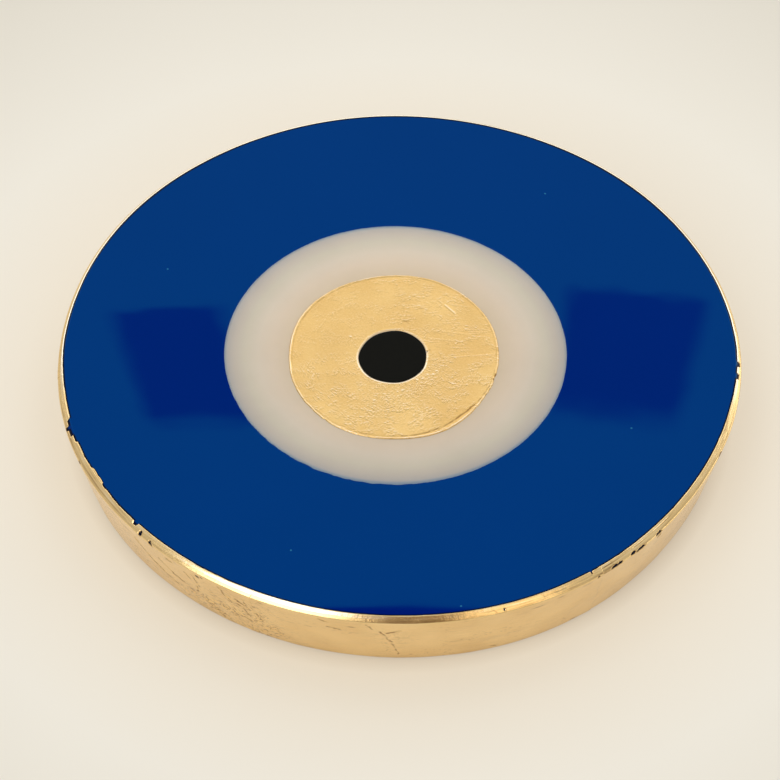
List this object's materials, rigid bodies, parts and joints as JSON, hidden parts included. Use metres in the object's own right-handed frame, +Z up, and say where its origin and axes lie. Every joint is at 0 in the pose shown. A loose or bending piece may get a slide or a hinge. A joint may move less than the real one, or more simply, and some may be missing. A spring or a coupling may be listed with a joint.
{
  "type": "evil eye ornament",
  "caption": "Round flat eye ornament of layered blue glass with a white glass inlay, a gold-leaf iris, a black pupil and a gold-leafed rim; lies flat on a table.",
  "frame": {"origin": "centre of the underside, on the surface that the ornament lies on", "axes": "+Z up through the eye, +X to the right and +Y away from a viewer in front; the rings of the eye are slightly off centre"},
  "size_m": [0.15, 0.15, 0.0184],
  "materials": {
    "blue_glass": "polished opaque cobalt-blue glass",
    "white_glass": "polished milky translucent white glass",
    "black_glass": "smooth black glass",
    "gold_leaf": "burnished gold leaf with fine wrinkles and brush marks"
  },
  "bodies": {
    "root": {"base_glass_disc": "blue_glass", "middle_glass_disc": "blue_glass", "top_glass_ring": "blue_glass", "white_glass_inlay": "white_glass", "black_glass_pupil": "black_glass", "iris_gold_leaf": "gold_leaf", "edge_gold_leaf": "gold_leaf"}
  },
  "joints": []
}
